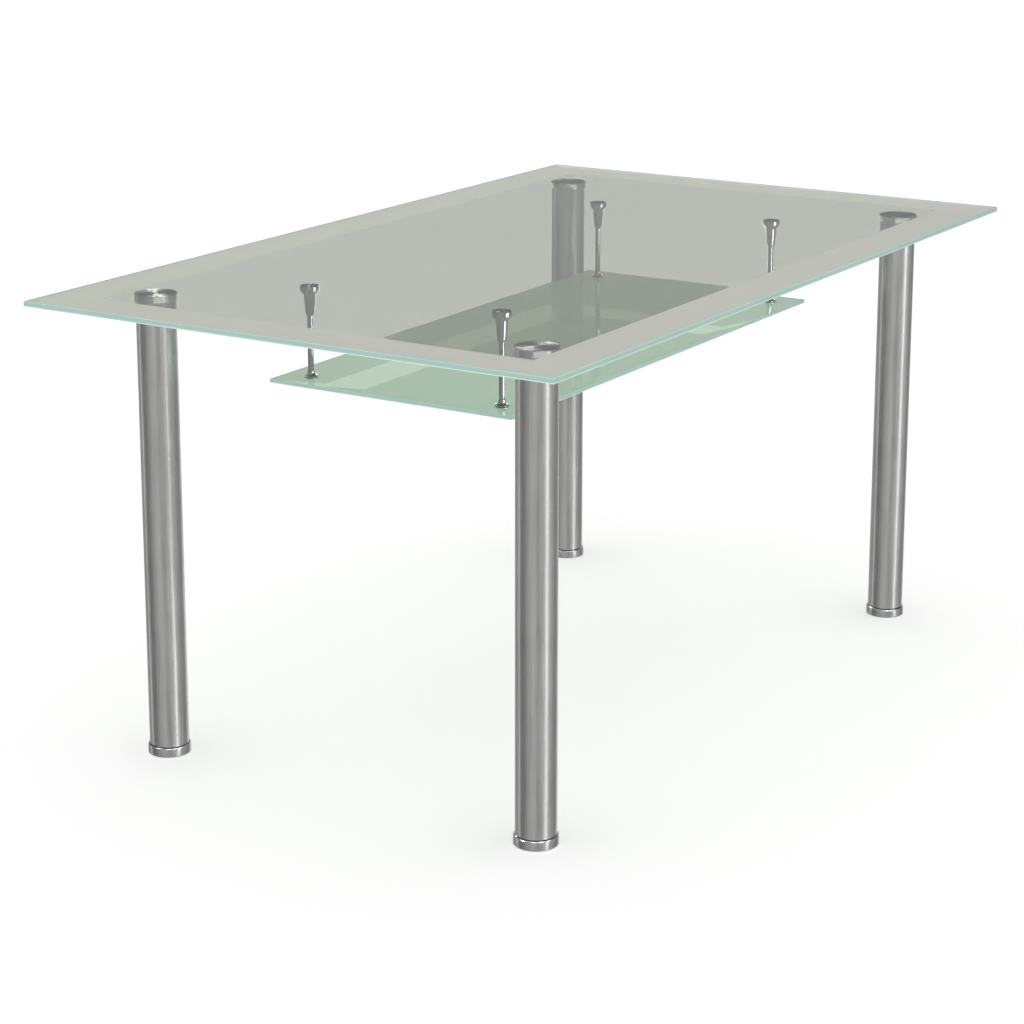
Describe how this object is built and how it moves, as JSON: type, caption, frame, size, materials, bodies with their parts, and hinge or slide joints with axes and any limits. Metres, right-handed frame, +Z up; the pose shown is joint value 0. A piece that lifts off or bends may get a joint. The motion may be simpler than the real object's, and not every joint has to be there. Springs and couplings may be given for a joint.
{
  "type": "glass dining table",
  "caption": "Rectangular glass dining table with a frosted border, round steel legs on screw levelling feet, and a smaller glass shelf hung under the top.",
  "frame": {"origin": "on the floor, under the middle of the glass top, at rest with all four feet screwed in", "axes": "+X along the length, +Y along the width, towards the back legs, +Z up"},
  "size_m": [1.5, 0.9, 0.72],
  "materials": {
    "tabletop_glass": "clear tempered glass, 80 mm sandblasted border, polished mint edge",
    "shelf_glass": "clear tempered glass, polished mint edge",
    "clear_bond": "clear bonding film",
    "clear_plastic": "clear soft plastic",
    "turned_steel": "face-turned, fine concentric lines",
    "brushed_steel": "satin, brushed along the tube",
    "plain_steel": "bare turned steel",
    "zinc_steel": "bright zinc plate",
    "screw_steel": "bright nickel plate",
    "chrome": "bright chrome, lightly brushed side",
    "hanger_chrome": "bright chrome",
    "black_plastic": "moulded, matte",
    "glide_plastic": "moulded, fine grain"
  },
  "bodies": {
    "table": {"tabletop_glass": "tabletop_glass", "shelf_glass": "shelf_glass", "leg_bonds": "clear_bond", "hanger_bonds": "clear_bond", "soft_washers": "clear_plastic", "shelf_bushes": "clear_plastic", "steel_washers": "zinc_steel", "leg_disc_front_left": "turned_steel", "leg_disc_front_right": "turned_steel", "leg_disc_back_left": "turned_steel", "leg_disc_back_right": "turned_steel", "disc_screw_front_left": "zinc_steel", "disc_screw_front_right": "zinc_steel", "disc_screw_back_left": "zinc_steel", "disc_screw_back_right": "zinc_steel", "top_plug_front_left": "plain_steel", "top_plug_front_right": "plain_steel", "top_plug_back_left": "plain_steel", "top_plug_back_right": "plain_steel", "leg_tube_front_left": "brushed_steel", "leg_tube_front_right": "brushed_steel", "leg_tube_back_left": "brushed_steel", "leg_tube_back_right": "brushed_steel", "bottom_plug_front_left": "black_plastic", "bottom_plug_front_right": "black_plastic", "bottom_plug_back_left": "black_plastic", "bottom_plug_back_right": "black_plastic", "captive_nut_front_left": "zinc_steel", "captive_nut_front_right": "zinc_steel", "captive_nut_back_left": "zinc_steel", "captive_nut_back_right": "zinc_steel", "hanger_head_front_left": "hanger_chrome", "hanger_head_front_right": "hanger_chrome", "hanger_head_back_left": "hanger_chrome", "hanger_head_back_right": "hanger_chrome", "hanger_rod_front_left": "hanger_chrome", "hanger_rod_front_right": "hanger_chrome", "hanger_rod_back_left": "hanger_chrome", "hanger_rod_back_right": "hanger_chrome", "hanger_collar_front_left": "hanger_chrome", "hanger_collar_front_right": "hanger_chrome", "hanger_collar_back_left": "hanger_chrome", "hanger_collar_back_right": "hanger_chrome", "shelf_screw_front_left": "screw_steel", "shelf_screw_front_right": "screw_steel", "shelf_screw_back_left": "screw_steel", "shelf_screw_back_right": "screw_steel"},
    "glide_front_left": {"foot_glide_front_left": "glide_plastic"},
    "foot_front_left": {"foot_cap_front_left": "chrome", "levelling_screw_front_left": "zinc_steel"},
    "glide_front_right": {"foot_glide_front_right": "glide_plastic"},
    "foot_front_right": {"foot_cap_front_right": "chrome", "levelling_screw_front_right": "zinc_steel"},
    "glide_back_left": {"foot_glide_back_left": "glide_plastic"},
    "foot_back_left": {"foot_cap_back_left": "chrome", "levelling_screw_back_left": "zinc_steel"},
    "glide_back_right": {"foot_glide_back_right": "glide_plastic"},
    "foot_back_right": {"foot_cap_back_right": "chrome", "levelling_screw_back_right": "zinc_steel"}
  },
  "joints": [
    {"name": "foot_rise_front_left", "type": "slide", "parent": "table", "child": "glide_front_left", "axis": [0, 0, -1], "range_m": [0, 0.01]},
    {"name": "foot_turn_front_left", "type": "hinge", "parent": "glide_front_left", "child": "foot_front_left", "pos_m": [-0.595, -0.33, 0.005], "axis": [0, 0, -1], "range_deg": [0, 2400]},
    {"name": "foot_rise_front_right", "type": "slide", "parent": "table", "child": "glide_front_right", "axis": [0, 0, -1], "range_m": [0, 0.01]},
    {"name": "foot_turn_front_right", "type": "hinge", "parent": "glide_front_right", "child": "foot_front_right", "pos_m": [0.595, -0.33, 0.005], "axis": [0, 0, -1], "range_deg": [0, 2400]},
    {"name": "foot_rise_back_left", "type": "slide", "parent": "table", "child": "glide_back_left", "axis": [0, 0, -1], "range_m": [0, 0.01]},
    {"name": "foot_turn_back_left", "type": "hinge", "parent": "glide_back_left", "child": "foot_back_left", "pos_m": [-0.595, 0.33, 0.005], "axis": [0, 0, -1], "range_deg": [0, 2400]},
    {"name": "foot_rise_back_right", "type": "slide", "parent": "table", "child": "glide_back_right", "axis": [0, 0, -1], "range_m": [0, 0.01]},
    {"name": "foot_turn_back_right", "type": "hinge", "parent": "glide_back_right", "child": "foot_back_right", "pos_m": [0.595, 0.33, 0.005], "axis": [0, 0, -1], "range_deg": [0, 2400]}
  ],
  "couplings": [
    {"joint": "foot_rise_front_left", "follows": "foot_turn_front_left", "m_per_rad": 0.00023873},
    {"joint": "foot_rise_front_right", "follows": "foot_turn_front_right", "m_per_rad": 0.00023873},
    {"joint": "foot_rise_back_left", "follows": "foot_turn_back_left", "m_per_rad": 0.00023873},
    {"joint": "foot_rise_back_right", "follows": "foot_turn_back_right", "m_per_rad": 0.00023873}
  ]
}
